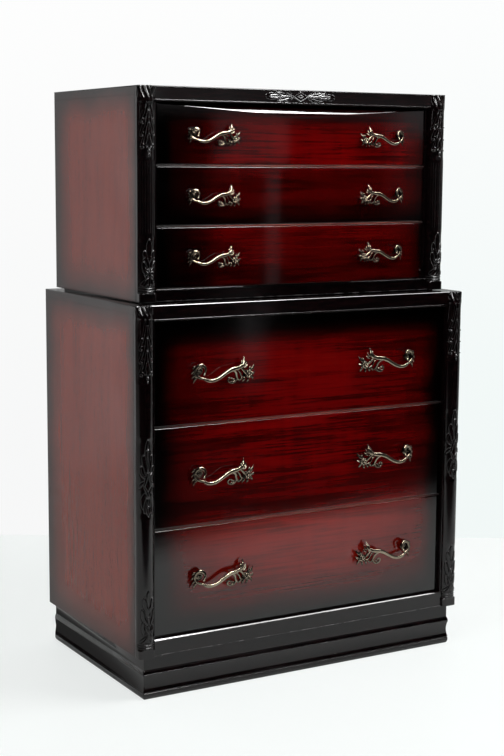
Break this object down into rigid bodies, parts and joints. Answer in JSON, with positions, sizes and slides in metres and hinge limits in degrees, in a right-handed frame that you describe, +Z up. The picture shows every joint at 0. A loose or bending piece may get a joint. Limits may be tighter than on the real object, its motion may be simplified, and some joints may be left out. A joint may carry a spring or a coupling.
{
  "type": "chest on chest",
  "caption": "Tall bedroom chest on chest: a bow-fronted upper case set back on a wider lower case, carved corner columns, moulded plinth and scroll pulls.",
  "frame": {"origin": "on the floor, under the middle of the whole object with its pulls", "axes": "+Z up, drawer fronts face -Y, +X to the right when seen from the front"},
  "size_m": [0.914, 0.5399, 1.411],
  "materials": {
    "frame_wood": "gloss lacquer over near-black mahogany",
    "front_wood": "gloss lacquer, deep red shading to black at the edges",
    "side_wood": "gloss lacquer over red-brown veneer",
    "plain_wood": "unpolished",
    "drawer_wood": "waxed",
    "pull_brass": "antiqued, worn bright on the high points",
    "screw_steel": "dull"
  },
  "bodies": {
    "cabinet": {"lower_sides": "side_wood", "lower_top_board": "side_wood", "lower_bottom_board": "plain_wood", "lower_back_panel": "plain_wood", "lower_columns": "frame_wood", "lower_top_rail": "frame_wood", "lower_bottom_rail": "frame_wood", "upper_sides": "side_wood", "upper_top_board": "side_wood", "upper_bottom_board": "plain_wood", "upper_back_panel": "plain_wood", "upper_columns": "frame_wood", "upper_top_rail": "frame_wood", "upper_bottom_rail": "frame_wood", "corner_stiles": "frame_wood", "drawer_dividers": "frame_wood", "drawer_runners": "plain_wood", "drawer_stops": "plain_wood", "case_bearers": "frame_wood", "locating_dowels": "plain_wood", "plinth_front": "frame_wood", "plinth_sides": "frame_wood", "plinth_back": "plain_wood", "glue_blocks": "plain_wood"},
    "lower_bottom_drawer": {"lower_bottom_drawer_front": "front_wood", "lower_bottom_drawer_sides": "drawer_wood", "lower_bottom_drawer_back": "drawer_wood", "lower_bottom_drawer_bottom": "drawer_wood", "lower_bottom_drawer_pulls": "pull_brass", "lower_bottom_drawer_screws": "screw_steel"},
    "lower_middle_drawer": {"lower_middle_drawer_front": "front_wood", "lower_middle_drawer_sides": "drawer_wood", "lower_middle_drawer_back": "drawer_wood", "lower_middle_drawer_bottom": "drawer_wood", "lower_middle_drawer_pulls": "pull_brass", "lower_middle_drawer_screws": "screw_steel"},
    "lower_top_drawer": {"lower_top_drawer_front": "front_wood", "lower_top_drawer_sides": "drawer_wood", "lower_top_drawer_back": "drawer_wood", "lower_top_drawer_bottom": "drawer_wood", "lower_top_drawer_pulls": "pull_brass", "lower_top_drawer_screws": "screw_steel"},
    "upper_bottom_drawer": {"upper_bottom_drawer_front": "front_wood", "upper_bottom_drawer_sides": "drawer_wood", "upper_bottom_drawer_back": "drawer_wood", "upper_bottom_drawer_bottom": "drawer_wood", "upper_bottom_drawer_pulls": "pull_brass", "upper_bottom_drawer_screws": "screw_steel"},
    "upper_middle_drawer": {"upper_middle_drawer_front": "front_wood", "upper_middle_drawer_sides": "drawer_wood", "upper_middle_drawer_back": "drawer_wood", "upper_middle_drawer_bottom": "drawer_wood", "upper_middle_drawer_pulls": "pull_brass", "upper_middle_drawer_screws": "screw_steel"},
    "upper_top_drawer": {"upper_top_drawer_front": "front_wood", "upper_top_drawer_sides": "drawer_wood", "upper_top_drawer_back": "drawer_wood", "upper_top_drawer_bottom": "drawer_wood", "upper_top_drawer_pulls": "pull_brass", "upper_top_drawer_screws": "screw_steel"}
  },
  "joints": [
    {"name": "lower_bottom_drawer_slide", "type": "slide", "parent": "cabinet", "child": "lower_bottom_drawer", "axis": [0, -1, 0], "range_m": [0, 0.34]},
    {"name": "lower_middle_drawer_slide", "type": "slide", "parent": "cabinet", "child": "lower_middle_drawer", "axis": [0, -1, 0], "range_m": [0, 0.34]},
    {"name": "lower_top_drawer_slide", "type": "slide", "parent": "cabinet", "child": "lower_top_drawer", "axis": [0, -1, 0], "range_m": [0, 0.34]},
    {"name": "upper_bottom_drawer_slide", "type": "slide", "parent": "cabinet", "child": "upper_bottom_drawer", "axis": [0, -1, 0], "range_m": [0, 0.3]},
    {"name": "upper_middle_drawer_slide", "type": "slide", "parent": "cabinet", "child": "upper_middle_drawer", "axis": [0, -1, 0], "range_m": [0, 0.3]},
    {"name": "upper_top_drawer_slide", "type": "slide", "parent": "cabinet", "child": "upper_top_drawer", "axis": [0, -1, 0], "range_m": [0, 0.3]}
  ]
}
